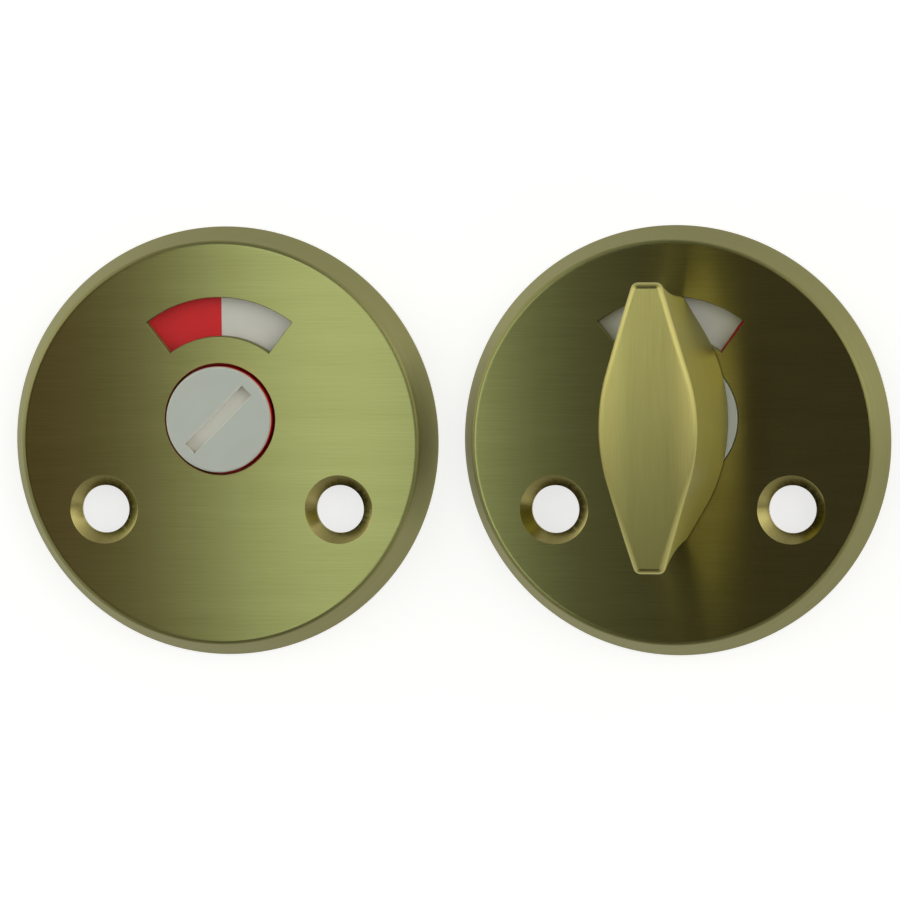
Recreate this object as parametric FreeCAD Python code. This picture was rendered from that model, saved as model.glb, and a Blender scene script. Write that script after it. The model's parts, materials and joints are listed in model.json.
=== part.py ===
import FreeCAD, Part
import math
import os

from FreeCAD import Placement, Rotation, Vector

# A privacy lock set for a bathroom door, in millimetres. Its two halves lie on their backs, side by
# side, faces up (+Z) and windows towards +Y: the outside half with the coin-slot release at -X, and the
# inside half with the thumb turn at +X. The origin lies between them, in the plane of their backs.
# Each half is modelled about its own spindle axis, which is the local Z axis, and is then set in place.

# Rose: the round brass cover of each half. Its height comes from the pieces stacked behind its face.
ROSE_RADIUS = 27.0
FACE_WALL = 1.8          # thickness of the face
RIM_WALL = 3.4           # from the hollow behind the face out to the rim's foot
RIM_LAND = 0.4           # upright band at the foot of the rim
BEVEL_WIDTH = 1.65       # how far the rim leans in, from foot to face
LIP_ROUND = 0.5          # rounding between bevel and face
HALVES_APART = 3.4       # between the rims of the two roses
POCKET_RADIUS = ROSE_RADIUS - RIM_WALL
HALF_SPACING = 2 * ROSE_RADIUS + HALVES_APART

# What is set out on the rose's face keeps its share of the rose, and is written for a radius of 27
ROSE_SCALE = ROSE_RADIUS / 27.0
AXIS_RISE = 3.0 * ROSE_SCALE     # spindle axis above the rose's centre

# Fixing screw holes, on a line below the spindle axis
SCREW_SPACING = 30.0 * ROSE_SCALE
SCREW_DROP = 11.4 * ROSE_SCALE
SCREW_HOLE_RADIUS = 3.0
COUNTERSINK_RADIUS = 4.3
COUNTERSINK_DEPTH = 1.3

# Indicator window, a stretch of a ring about the spindle axis
WINDOW_INNER = 10.4 * ROSE_SCALE
WINDOW_OUTER = 15.3 * ROSE_SCALE
WINDOW_HALF_DEG = 37.5
UPRIGHT_DEG = 90.0       # direction of the window's middle

# Travel of the indicator, and what each colour laps over beyond the window
TRAVEL_DEG = 90.0
LAP_DEG = 2.5
STOP_PLAY_DEG = 0.5
STOP_LUG_DEG = 4.0
STOP_LUG_STEP = 1.1      # lug's inner end outside the window's inner edge
STOP_LUG_SHY = 0.4       # lug's outer end inside the fan's edge
RED_STRIP_DEG = 1.8      # red that shows at the window's end beside the free colour

# Indicator disc
WEB_THICKNESS = 0.9
WEB_PLAY = 0.1           # under the face
WEB_INSET = 1.2          # round middle inside the window's inner edge
FAN_LAP = 0.3            # fan beyond the window's outer edge
SECTOR_LAP = 0.5         # white insert inside the window's inner edge
SECTOR_DEPTH = 0.5
SECTOR_PEG_RADIUS = 0.6
PEG_SHARES = (0.25, 0.75)  # where the pegs stand along the white insert
WEB_RADIUS = WINDOW_INNER - WEB_INSET
FAN_RADIUS = WINDOW_OUTER + FAN_LAP
SECTOR_INNER = WINDOW_INNER - SECTOR_LAP
STOP_LUG_INNER = WINDOW_INNER + STOP_LUG_STEP
STOP_LUG_OUTER = FAN_RADIUS - STOP_LUG_SHY

# Back plate and its screws. The upper post stands clear of the fan.
PLATE_THICKNESS = 0.8
PLATE_LAP = 1.0          # plate beyond the hollow that it closes
PLATE_CLEARANCE = 0.1
PLATE_SCREW_WINDOW = 4.3 # radius of its openings for the fixing screws
POST_RADIUS = 2.0
POST_FAN_GAP = 0.3
POST_ANGLES_DEG = (90.0, 240.0, 300.0)
PLATE_RADIUS = POCKET_RADIUS + PLATE_LAP
POST_CIRCLE = FAN_RADIUS + AXIS_RISE + POST_RADIUS + POST_FAN_GAP
SMALL_SCREW_RADIUS = 0.9
SMALL_SCREW_LENGTH = 2.5
SMALL_HEAD_RADIUS = 1.7
SMALL_HEAD_DEPTH = 0.6
SMALL_SLOT_WIDTH = 0.4
SMALL_SLOT_DEPTH = 0.3

# Square spindle sockets
SPINDLE_WIDTH = 6.0
SOCKET_CLEARANCE = 0.1   # on each side of the spindle
TURN_SOCKET_DEPTH = 12.0
SOCKET_WIDTH = SPINDLE_WIDTH + 2 * SOCKET_CLEARANCE

# Bearing at the back of each half. The journal keeps its share of the spindle, and is written for a
# spindle of 6 across its flats.
SPINDLE_SCALE = SPINDLE_WIDTH / 6.0
JOURNAL_RADIUS = 5.6 * SPINDLE_SCALE
JOURNAL_SETBACK = 0.1    # journal's end inside the back face
RUNNING_GAP = 0.05       # radial, between journal and bush
FITTED_GAP = 0.02        # between pieces that are pushed together
BUSH_WALL = 0.75
BUSH_FLANGE_WIDTH = 1.0
BUSH_FLANGE_THICKNESS = 0.3
BUSH_INNER = JOURNAL_RADIUS + RUNNING_GAP
BUSH_OUTER = BUSH_INNER + BUSH_WALL
BUSH_FLANGE_RADIUS = BUSH_OUTER + BUSH_FLANGE_WIDTH

# Wave washer, thrust washer and retaining ring between bush and web
WAVE_SHAFT_GAP = 0.3     # wave washer clear of the bush's bore
WAVE_INSET = 0.1         # wave washer inside the bush's flange
WAVE_SHEET = 0.15
WAVE_ROOM = 0.4          # between the bush's flange and the thrust faces
WAVE_SLACK = 0.04        # room left over by the wave washer
WAVE_COUNT = 3
WAVE_POINTS = 24         # along the sheet's edge, for each half turn of its curve
THRUST_THICKNESS = 0.25
RING_THICKNESS = 0.45
RING_REACH = 1.4         # retaining ring beyond the journal
RING_GROOVE_DEPTH = 0.55
RING_OFFSET = 0.35       # the ring is widest opposite its gap
RING_GAP_DEG = 44.0
RING_LUG_RADIUS = 1.0
RING_LUG_HOLE = 0.45
RING_LUG_REACH = 1.3     # middle of the ring's lugs beyond the journal
WAVE_INNER = BUSH_INNER + WAVE_SHAFT_GAP
WAVE_OUTER = BUSH_FLANGE_RADIUS - WAVE_INSET
RING_RADIUS = JOURNAL_RADIUS + RING_REACH
RING_SEAT = JOURNAL_RADIUS - RING_GROOVE_DEPTH
RING_LUG_CIRCLE = JOURNAL_RADIUS + RING_LUG_REACH

# Release hub: follower, red hub and white slotted cap
HUB_STEP = 1.05          # hub beyond the journal
HUB_SIDE_GAP = 0.35      # between the hub and the rose's hole
FOLLOWER_FLANGE_STEP = 0.25  # follower's flange beyond the hub
BOSS_WALL = 1.2          # beside the socket
BOSS_INSET = 1.35        # boss's turned corners inside the hub's side
BOSS_STANDS_PROUD = 0.1  # above the rose's face
SOCKET_ROOF = 0.6
CAP_STANDS_PROUD = 1.4   # above the rose's face
CAP_FLANGE = 0.7
CAP_LEDGE = 1.15         # cap's flange beyond its plug
CAP_ROUND = 0.3
SLOT_END_WALL = 1.45     # between the slot's end and the cap's side
SLOT_WIDTH = 1.7
SLOT_DEPTH = 1.0
SLOT_DEG = 45.0
HUB_RADIUS = JOURNAL_RADIUS + HUB_STEP
HUB_HOLE_RADIUS = HUB_RADIUS + HUB_SIDE_GAP
FOLLOWER_FLANGE_RADIUS = HUB_RADIUS + FOLLOWER_FLANGE_STEP
BOSS_WIDTH = SOCKET_WIDTH + 2 * BOSS_WALL
BOSS_CORNER_RADIUS = HUB_RADIUS - BOSS_INSET
CAP_PLUG_RADIUS = HUB_RADIUS - CAP_LEDGE
SLOT_LENGTH = 2 * (HUB_RADIUS - SLOT_END_WALL)

# Thumb turn: hub ring, foot and hexagonal grip
RING_WIDTH = 1.8         # white ring beyond the foot, with its side gap
RING_SIDE_GAP = 0.08
RING_SINK = 0.1          # white ring below the rose's face
RING_BAND = 0.15         # rounding of the white ring's outer edge
FLAT_DEPTH = 1.0         # of the shank's two flats
FOOT_GAP = 0.3           # between the grip and the rose's face
FOOT_STEP = 1.0          # foot beyond the journal
FLATS_WIDTH = 2 * (JOURNAL_RADIUS - FLAT_DEPTH)
FOOT_RADIUS = JOURNAL_RADIUS + FOOT_STEP
RING_HOLE_RADIUS = FOOT_RADIUS + RING_WIDTH
GRIP_HEIGHT = 20.2
GRIP_CORNER_ROUND = 0.95
# Three level outlines of the grip: share of its height, half length, half width, half width of the
# blunt end, and the rounding of the middle corner
GRIP_OUTLINES = (
    (0.00, 15.4, 7.2, 1.6, 22.0),
    (0.42, 16.2, 6.5, 1.6, 22.0),
    (1.00, 18.45, 6.2, 1.85, 23.5),
)
CROWN_RIDGE = 1.8        # half width of the flat ridge along the grip's top
CROWN_ACROSS = 12.0      # radius of the shoulders beside the ridge
CROWN_ALONG = 190.0      # radius of the grip's top, from end to end
CROWN_SHARE = 0.9        # share of their radius that the shoulders span
GRIP_EDGE_ROUND = 0.8

# Levels worked out from the sizes above, stacked up from the back of the plate
FLANGE_TOP = PLATE_THICKNESS + BUSH_FLANGE_THICKNESS
THRUST_BOTTOM = FLANGE_TOP + WAVE_ROOM
WAVE_MIDDLE = (FLANGE_TOP + THRUST_BOTTOM) / 2
RING_BOTTOM = THRUST_BOTTOM + THRUST_THICKNESS
WEB_BOTTOM = RING_BOTTOM + RING_THICKNESS
WEB_TOP = WEB_BOTTOM + WEB_THICKNESS
INNER_FACE = WEB_TOP + WEB_PLAY
ROSE_HEIGHT = INNER_FACE + FACE_WALL
BOSS_TOP = ROSE_HEIGHT + BOSS_STANDS_PROUD
RELEASE_SOCKET_DEPTH = BOSS_TOP - SOCKET_ROOF - JOURNAL_SETBACK
CAP_TOP = ROSE_HEIGHT + CAP_STANDS_PROUD
HUB_TOP = CAP_TOP - CAP_FLANGE
RING_TOP = ROSE_HEIGHT - RING_SINK
GRIP_FOOT = ROSE_HEIGHT + FOOT_GAP
GRIP_TOP = GRIP_FOOT + GRIP_HEIGHT

# Angles about the spindle axis. The fan covers the window from the start of its travel to the end.
WINDOW_START = UPRIGHT_DEG - WINDOW_HALF_DEG
WINDOW_END = UPRIGHT_DEG + WINDOW_HALF_DEG
FAN_SPAN = 2 * WINDOW_HALF_DEG + TRAVEL_DEG + 2 * LAP_DEG
TURN_FAN_START = WINDOW_END + LAP_DEG - FAN_SPAN
RELEASE_FAN_START = TURN_FAN_START + TRAVEL_DEG / 2
TURN_COLOUR_CHANGE = WINDOW_START + RED_STRIP_DEG
SWEEP_START = TURN_FAN_START
SWEEP_END = TURN_FAN_START + FAN_SPAN + TRAVEL_DEG

THROUGH = 1.0            # how far a cutting tool runs past what it cuts
SHORTEST_EDGE = 1e-6
ROSE_CENTRE = Vector(0, -AXIS_RISE, 0)


def polar(radius, degrees, height=0.0):
    """The point at a radius and an angle about the spindle axis."""
    angle = math.radians(degrees)
    return Vector(radius * math.cos(angle), radius * math.sin(angle), height)


def rounded(before, corner, after, radius):
    """Where the rounding of a corner starts, its middle point and its end."""
    back = (before - corner).normalize()
    ahead = (after - corner).normalize()
    half = back.getAngle(ahead) / 2
    reach = radius / math.tan(half)
    centre = corner + (back + ahead).normalize() * (radius / math.sin(half))
    middle = centre + (corner - centre).normalize() * radius
    return corner + back * reach, middle, corner + ahead * reach


def rounded_outline(corners):
    """A closed wire through corners, each given as its point and its rounding."""
    turns = []
    for index, (corner, radius) in enumerate(corners):
        before = corners[index - 1][0]
        after = corners[(index + 1) % len(corners)][0]
        turns.append(rounded(before, corner, after, radius) if radius else (corner, None, corner))
    edges = []
    for index, (start, middle, end) in enumerate(turns):
        if middle is not None:
            edges.append(Part.Arc(start, middle, end).toShape())
        following = turns[(index + 1) % len(turns)][0]
        if (following - end).Length > SHORTEST_EDGE:
            edges.append(Part.makeLine(end, following))
    return Part.Wire(edges)


def turned(corners):
    """A solid turned about the local Z axis from corners given as radius, height and rounding."""
    outline = rounded_outline([(Vector(radius, 0, height), rounding)
                               for radius, height, rounding in corners])
    return Part.Face(outline).revolve(Vector(0, 0, 0), Vector(0, 0, 1), 360)


def rod(radius, bottom, top, centre=Vector(0, 0, 0)):
    """An upright cylinder between two levels."""
    return Part.makeCylinder(radius, top - bottom, Vector(centre.x, centre.y, bottom))


def tube(inner, outer, bottom, top):
    """An upright tube about the spindle axis."""
    return rod(outer, bottom, top).cut(rod(inner, bottom - THROUGH, top + THROUGH))


def upright_bar(width_x, width_y, bottom, top):
    """A square-cornered bar about the spindle axis."""
    return Part.makeBox(width_x, width_y, top - bottom, Vector(-width_x / 2, -width_y / 2, bottom))


def sector(inner, outer, start, end, bottom, top):
    """A block between two radii and two angles about the spindle axis."""
    middle = (start + end) / 2
    outline = Part.Wire([
        Part.Arc(polar(outer, start, bottom), polar(outer, middle, bottom),
                 polar(outer, end, bottom)).toShape(),
        Part.makeLine(polar(outer, end, bottom), polar(inner, end, bottom)),
        Part.Arc(polar(inner, end, bottom), polar(inner, middle, bottom),
                 polar(inner, start, bottom)).toShape(),
        Part.makeLine(polar(inner, start, bottom), polar(outer, start, bottom)),
    ])
    return Part.Face(outline).extrude(Vector(0, 0, top - bottom))


def screw_places():
    """The centres of the two fixing screw holes."""
    return [Vector(side * SCREW_SPACING / 2, -SCREW_DROP, 0) for side in (-1, 1)]


def post_places():
    """The centres of the three posts, in a circle about the rose's centre."""
    return [ROSE_CENTRE + polar(POST_CIRCLE, angle) for angle in POST_ANGLES_DEG]


def socket_tool(depth):
    """What cuts the square spindle socket from the back."""
    return upright_bar(SOCKET_WIDTH, SOCKET_WIDTH, -THROUGH, JOURNAL_SETBACK + depth)


# Rose


def rose_shell():
    """The turned cover: bevelled rim, rounded lip, hollow back and a step for the back plate."""
    face_radius = ROSE_RADIUS - BEVEL_WIDTH
    step_radius = PLATE_RADIUS + PLATE_CLEARANCE
    shell = turned([
        (0, ROSE_HEIGHT, 0),
        (face_radius, ROSE_HEIGHT, LIP_ROUND),
        (ROSE_RADIUS, RIM_LAND, 0),
        (ROSE_RADIUS, 0, 0),
        (step_radius, 0, 0),
        (step_radius, PLATE_THICKNESS, 0),
        (POCKET_RADIUS, PLATE_THICKNESS, 0),
        (POCKET_RADIUS, INNER_FACE, 0),
        (0, INNER_FACE, 0),
    ])
    shell.translate(ROSE_CENTRE)
    return shell


def screw_hole(centre):
    """A countersunk hole through the face."""
    hole = rod(SCREW_HOLE_RADIUS, INNER_FACE - THROUGH, ROSE_HEIGHT + THROUGH, centre)
    flare = COUNTERSINK_RADIUS - SCREW_HOLE_RADIUS
    # The cone runs on above the face at the same slope
    mouth = Part.makeCone(
        SCREW_HOLE_RADIUS, COUNTERSINK_RADIUS + flare, 2 * COUNTERSINK_DEPTH,
        Vector(centre.x, centre.y, ROSE_HEIGHT - COUNTERSINK_DEPTH))
    return hole.fuse(mouth)


def rose(hub_hole_radius):
    """A rose with its window, holes, posts and stop lugs."""
    shell = rose_shell()
    posts = [rod(POST_RADIUS, PLATE_THICKNESS, INNER_FACE, place) for place in post_places()]
    lugs = [
        sector(STOP_LUG_INNER, STOP_LUG_OUTER, SWEEP_START - STOP_PLAY_DEG - STOP_LUG_DEG,
               SWEEP_START - STOP_PLAY_DEG, WEB_BOTTOM, INNER_FACE),
        sector(STOP_LUG_INNER, STOP_LUG_OUTER, SWEEP_END + STOP_PLAY_DEG,
               SWEEP_END + STOP_PLAY_DEG + STOP_LUG_DEG, WEB_BOTTOM, INNER_FACE),
    ]
    body = shell.fuse(posts + lugs)
    cuts = [screw_hole(place) for place in screw_places()]
    cuts.append(rod(hub_hole_radius, INNER_FACE - THROUGH, ROSE_HEIGHT + THROUGH))
    cuts.append(sector(WINDOW_INNER, WINDOW_OUTER, WINDOW_START, WINDOW_END,
                       INNER_FACE - THROUGH, ROSE_HEIGHT + THROUGH))
    cuts += [rod(SMALL_SCREW_RADIUS + FITTED_GAP, 0, SMALL_SCREW_LENGTH + FITTED_GAP, place)
             for place in post_places()]
    return body.cut(cuts).removeSplitter()


# Indicator


def fan(start):
    """The web under the face: a round middle and the fan that fills the window."""
    middle = rod(WEB_RADIUS, WEB_BOTTOM, WEB_TOP)
    wing = sector(JOURNAL_RADIUS, FAN_RADIUS, start, start + FAN_SPAN, WEB_BOTTOM, WEB_TOP)
    return middle.fuse(wing)


def white_sector(start, end, gap=0.0):
    """The white insert and its two pegs; a gap makes it the tool for its recess."""
    plate = sector(SECTOR_INNER - gap, FAN_RADIUS + gap, start, end, WEB_TOP - SECTOR_DEPTH - gap,
                   WEB_TOP + gap)
    peg_circle = (SECTOR_INNER + FAN_RADIUS) / 2
    pegs = []
    for share in PEG_SHARES:
        place = polar(peg_circle, start + share * (end - start))
        pegs.append(rod(SECTOR_PEG_RADIUS + gap, WEB_BOTTOM, WEB_TOP - SECTOR_DEPTH, place))
    return plate.fuse(pegs)


def boss(gap=0.0):
    """The follower's square boss with turned corners; a gap makes it the tool for its bore."""
    side = BOSS_WIDTH + 2 * gap
    bar = upright_bar(side, side, WEB_BOTTOM, BOSS_TOP)
    return bar.common(rod(BOSS_CORNER_RADIUS + gap, WEB_BOTTOM, BOSS_TOP))


def release_indicator_disc():
    """Red disc and hub; the hub stands through the rose and takes the follower and the cap."""
    blank = fan(RELEASE_FAN_START).fuse(rod(HUB_RADIUS, WEB_BOTTOM, HUB_TOP))
    recess = rod(CAP_PLUG_RADIUS + FITTED_GAP, BOSS_TOP, HUB_TOP + THROUGH)
    insert = white_sector(RELEASE_FAN_START, UPRIGHT_DEG, FITTED_GAP)
    return blank.cut([boss(FITTED_GAP), recess, insert]).removeSplitter()


def release_white_sector():
    """White insert that fills the right half of the window at rest."""
    return white_sector(RELEASE_FAN_START, UPRIGHT_DEG)


def release_slot_cap():
    """White cap on the hub, with the coin slot."""
    blank = turned([
        (0, BOSS_TOP, 0),
        (CAP_PLUG_RADIUS, BOSS_TOP, 0),
        (CAP_PLUG_RADIUS, HUB_TOP, 0),
        (HUB_RADIUS, HUB_TOP, 0),
        (HUB_RADIUS, CAP_TOP, CAP_ROUND),
        (0, CAP_TOP, 0),
    ])
    slot = upright_bar(SLOT_LENGTH, SLOT_WIDTH, CAP_TOP - SLOT_DEPTH, CAP_TOP + THROUGH)
    slot.rotate(Vector(0, 0, 0), Vector(0, 0, 1), SLOT_DEG)
    return blank.cut(slot)


def release_spindle_follower():
    """Journal, thrust flange and square boss in one casting, with the spindle socket."""
    journal = rod(JOURNAL_RADIUS, JOURNAL_SETBACK, THRUST_BOTTOM)
    flange = rod(FOLLOWER_FLANGE_RADIUS, THRUST_BOTTOM, WEB_BOTTOM)
    return journal.fuse([flange, boss()]).cut(socket_tool(RELEASE_SOCKET_DEPTH)).removeSplitter()


def flatted(radius, width, bottom, top):
    """A round shank with two flats."""
    return rod(radius, bottom, top).common(upright_bar(2 * (radius + THROUGH), width, bottom, top))


def shank_bore(top):
    """What cuts the shank's flatted bore through the disc and the hub ring."""
    return flatted(JOURNAL_RADIUS + FITTED_GAP, FLATS_WIDTH + 2 * FITTED_GAP, WEB_BOTTOM - THROUGH, top)


def turn_indicator_disc():
    """Red disc on the shank's flats."""
    insert = white_sector(TURN_COLOUR_CHANGE, TURN_FAN_START + FAN_SPAN, FITTED_GAP)
    return fan(TURN_FAN_START).cut([shank_bore(WEB_TOP + THROUGH), insert]).removeSplitter()


def turn_white_sector():
    """White insert that fills nearly all of the window at rest."""
    return white_sector(TURN_COLOUR_CHANGE, TURN_FAN_START + FAN_SPAN)


def turn_hub_ring():
    """White ring round the turn's foot, in the rose's hub hole."""
    radius = RING_HOLE_RADIUS - RING_SIDE_GAP
    blank = turned([
        (0, WEB_TOP, 0),
        (radius, WEB_TOP, 0),
        (radius, RING_TOP, RING_BAND),
        (0, RING_TOP, 0),
    ])
    return blank.cut(shank_bore(RING_TOP + THROUGH))


# Thumb turn


def corner_reach(half_length, half_width, half_end, corner_round):
    """How far out the grip's middle corner lies, so that its rounding stops at the half width."""
    inset = corner_round + half_end - half_width
    lean = math.asin(corner_round / math.hypot(half_length, inset)) - math.atan2(inset, half_length)
    return half_end + half_length * math.tan(lean)


def grip_outline(share, half_length, half_width, half_end, corner_round):
    """One level outline of the grip: a long hexagon with blunt ends and rounded middle corners."""
    height = GRIP_FOOT + share * GRIP_HEIGHT
    reach = corner_reach(half_length, half_width, half_end, corner_round)
    corners = [
        (Vector(half_end, half_length, height), GRIP_CORNER_ROUND),
        (Vector(reach, 0, height), corner_round),
        (Vector(half_end, -half_length, height), GRIP_CORNER_ROUND),
        (Vector(-half_end, -half_length, height), GRIP_CORNER_ROUND),
        (Vector(-reach, 0, height), corner_round),
        (Vector(-half_end, half_length, height), GRIP_CORNER_ROUND),
    ]
    return rounded_outline(corners)


def shoulder(side, lean):
    """A point of the crown's section, on one side, where its shoulder leans by an angle."""
    out = CROWN_RIDGE + CROWN_ACROSS * math.sin(lean)
    return Vector(side * out, 0, GRIP_TOP - CROWN_ACROSS * (1 - math.cos(lean)))


def crown():
    """The room under the grip's crowned top: a flat ridge and two shoulders, bent gently along it."""
    lean = math.asin(CROWN_SHARE)
    left, right = [[shoulder(side, turn) for turn in (0, lean / 2, lean)] for side in (-1, 1)]
    floor = [Vector(ends[-1].x, 0, 0) for ends in (left, right)]
    section = Part.Wire([
        Part.makeLine(left[0], right[0]),
        Part.Arc(*right).toShape(),
        Part.makeLine(right[-1], floor[1]),
        Part.makeLine(floor[1], floor[0]),
        Part.makeLine(floor[0], left[-1]),
        Part.Arc(*left[::-1]).toShape(),
    ])
    face = Part.Face(section)
    centre = Vector(0, 0, GRIP_TOP - CROWN_ALONG)
    longest = max(outline[1] for outline in GRIP_OUTLINES)
    sweep = 2 * math.degrees((longest + THROUGH) / (CROWN_ALONG - GRIP_TOP))
    face.rotate(centre, Vector(1, 0, 0), -sweep / 2)
    return face.revolve(centre, Vector(1, 0, 0), sweep)


def grip():
    """The hexagonal grip, drawn from its lens-shaped foot up to the hexagon, with a crowned top."""
    outlines = [grip_outline(*sizes) for sizes in GRIP_OUTLINES]
    body = Part.makeLoft(outlines, True, False).common(crown())
    # Only the loop round the top lies wholly in the upper half; the upright edges reach below it
    middle = GRIP_TOP - GRIP_HEIGHT / 2
    rim = [edge for edge in body.Edges if edge.BoundBox.ZMin > middle]
    return body.makeFillet(GRIP_EDGE_ROUND, rim)


def thumb_turn():
    """Grip, foot and shank in one casting, with the ring groove, the flats and the socket."""
    journal = rod(JOURNAL_RADIUS, JOURNAL_SETBACK, RING_BOTTOM)
    groove = rod(RING_SEAT, RING_BOTTOM, WEB_BOTTOM)
    shank = flatted(JOURNAL_RADIUS, FLATS_WIDTH, WEB_BOTTOM, RING_TOP)
    foot = rod(FOOT_RADIUS, RING_TOP, GRIP_FOOT)
    casting = grip().fuse([foot, shank, groove, journal])
    return casting.cut(socket_tool(TURN_SOCKET_DEPTH))


# Bearing pieces behind the web


def back_plate():
    """Pressed plate with a bush hole, openings for the fixing screws and countersunk holes."""
    plate = rod(PLATE_RADIUS, 0, PLATE_THICKNESS, ROSE_CENTRE)
    cuts = [rod(BUSH_OUTER, -THROUGH, PLATE_THICKNESS + THROUGH)]
    for place in screw_places():
        cuts.append(rod(PLATE_SCREW_WINDOW, -THROUGH, PLATE_THICKNESS + THROUGH, place))
    for place in post_places():
        cuts.append(small_screw(place, FITTED_GAP))
    return plate.cut(cuts)


def small_screw(place, gap=0.0):
    """A countersunk screw with its head in the back face; a gap makes it the tool for its hole."""
    head = Part.makeCone(SMALL_HEAD_RADIUS + gap, SMALL_SCREW_RADIUS + gap, SMALL_HEAD_DEPTH,
                         Vector(place.x, place.y, 0))
    return head.fuse(rod(SMALL_SCREW_RADIUS + gap, 0, SMALL_SCREW_LENGTH, place))


def plate_screws():
    """The three screws, each with a driver slot."""
    screws = []
    for place in post_places():
        slot = upright_bar(2 * SMALL_HEAD_RADIUS + THROUGH, SMALL_SLOT_WIDTH, -THROUGH, SMALL_SLOT_DEPTH)
        slot.translate(place)
        screws.append(small_screw(place).cut(slot))
    return Part.makeCompound(screws)


def bearing_bush():
    """Flanged bush in the back plate."""
    sleeve = tube(BUSH_INNER, BUSH_OUTER, 0, PLATE_THICKNESS)
    flange = tube(BUSH_INNER, BUSH_FLANGE_RADIUS, PLATE_THICKNESS, FLANGE_TOP)
    return sleeve.fuse(flange).removeSplitter()


def wave_curve(radius):
    """A closed curve that rises and falls as it goes round."""
    swing = (WAVE_ROOM - WAVE_SLACK - WAVE_SHEET) / 2
    count = WAVE_COUNT * 2 * WAVE_POINTS
    points = []
    for index in range(count):
        turn = 360.0 * index / count
        rise = swing * math.cos(math.radians(WAVE_COUNT * turn))
        points.append(polar(radius, turn, WAVE_MIDDLE - WAVE_SHEET / 2 + rise))
    curve = Part.BSplineCurve()
    curve.interpolate(points, PeriodicFlag=True)
    return curve.toShape()


def wave_washer():
    """Spring washer pressed into waves from thin sheet."""
    surface = Part.makeRuledSurface(wave_curve(WAVE_INNER), wave_curve(WAVE_OUTER))
    return surface.extrude(Vector(0, 0, WAVE_SHEET))


def turn_thrust_washer():
    """Flat washer between the wave washer and the retaining ring."""
    return tube(BUSH_INNER, BUSH_FLANGE_RADIUS, THRUST_BOTTOM, RING_BOTTOM)


def turn_retaining_ring():
    """Shaft ring in the shank's groove: widest opposite its gap, with a holed lug at each end."""
    blank = rod(RING_RADIUS, RING_BOTTOM, WEB_BOTTOM, Vector(0, -RING_OFFSET, 0))
    wedge = sector(RING_SEAT - THROUGH, RING_RADIUS + THROUGH, UPRIGHT_DEG - RING_GAP_DEG / 2,
                   UPRIGHT_DEG + RING_GAP_DEG / 2, RING_BOTTOM - THROUGH, WEB_BOTTOM + THROUGH)
    lug_turn = math.degrees(RING_LUG_RADIUS / RING_LUG_CIRCLE) + RING_GAP_DEG / 2
    places = [polar(RING_LUG_CIRCLE, UPRIGHT_DEG + side * lug_turn) for side in (-1, 1)]
    lugs = [rod(RING_LUG_RADIUS, RING_BOTTOM, WEB_BOTTOM, place) for place in places]
    holes = [rod(RING_LUG_HOLE, RING_BOTTOM - THROUGH, WEB_BOTTOM + THROUGH, place)
             for place in places]
    seat = rod(RING_SEAT + FITTED_GAP, RING_BOTTOM - THROUGH, WEB_BOTTOM + THROUGH)
    return blank.cut(wedge).fuse(lugs).cut(holes + [seat]).removeSplitter()


# Both halves, each node with its place

RELEASE_PIECES = {
    "release_rose": rose(HUB_HOLE_RADIUS),
    "release_indicator_disc": release_indicator_disc(),
    "release_white_sector": release_white_sector(),
    "release_slot_cap": release_slot_cap(),
    "release_spindle_follower": release_spindle_follower(),
    "release_bearing_bush": bearing_bush(),
    "release_wave_washer": wave_washer(),
    "release_back_plate": back_plate(),
    "release_plate_screws": plate_screws(),
}

TURN_PIECES = {
    "turn_rose": rose(RING_HOLE_RADIUS),
    "thumb_turn": thumb_turn(),
    "turn_indicator_disc": turn_indicator_disc(),
    "turn_white_sector": turn_white_sector(),
    "turn_hub_ring": turn_hub_ring(),
    "turn_retaining_ring": turn_retaining_ring(),
    "turn_thrust_washer": turn_thrust_washer(),
    "turn_wave_washer": wave_washer(),
    "turn_bearing_bush": bearing_bush(),
    "turn_back_plate": back_plate(),
    "turn_plate_screws": plate_screws(),
}


def write_half(pieces, centre_x):
    """Set each piece of a half in its place and write it."""
    place = Placement(Vector(centre_x, AXIS_RISE, 0), Rotation())
    for name, shape in pieces.items():
        placed = shape.copy()
        placed.Placement = place.multiply(placed.Placement)
        placed.exportStep(os.path.join("parts", name + ".step"))
        print(name, len(placed.Solids), placed.isValid(), round(placed.Volume, 2))


os.makedirs("parts", exist_ok=True)
write_half(RELEASE_PIECES, -HALF_SPACING / 2)
write_half(TURN_PIECES, HALF_SPACING / 2)
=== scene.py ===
# %% [markdown]
# # A privacy lock set for a bathroom door
# The set is two brass roses. The one at the left goes outside the door: its white button has a
# slot for a coin, and a window shows red or white. The one at the right goes inside: it has a
# thumb turn. Every size below is in millimetres, and every piece is drawn about the spindle axis
# of its own half before it is set in its place, because that is how a maker would draw it.

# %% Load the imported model
import json
import math

import bmesh
import bpy
from mathutils import Matrix, Vector


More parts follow.
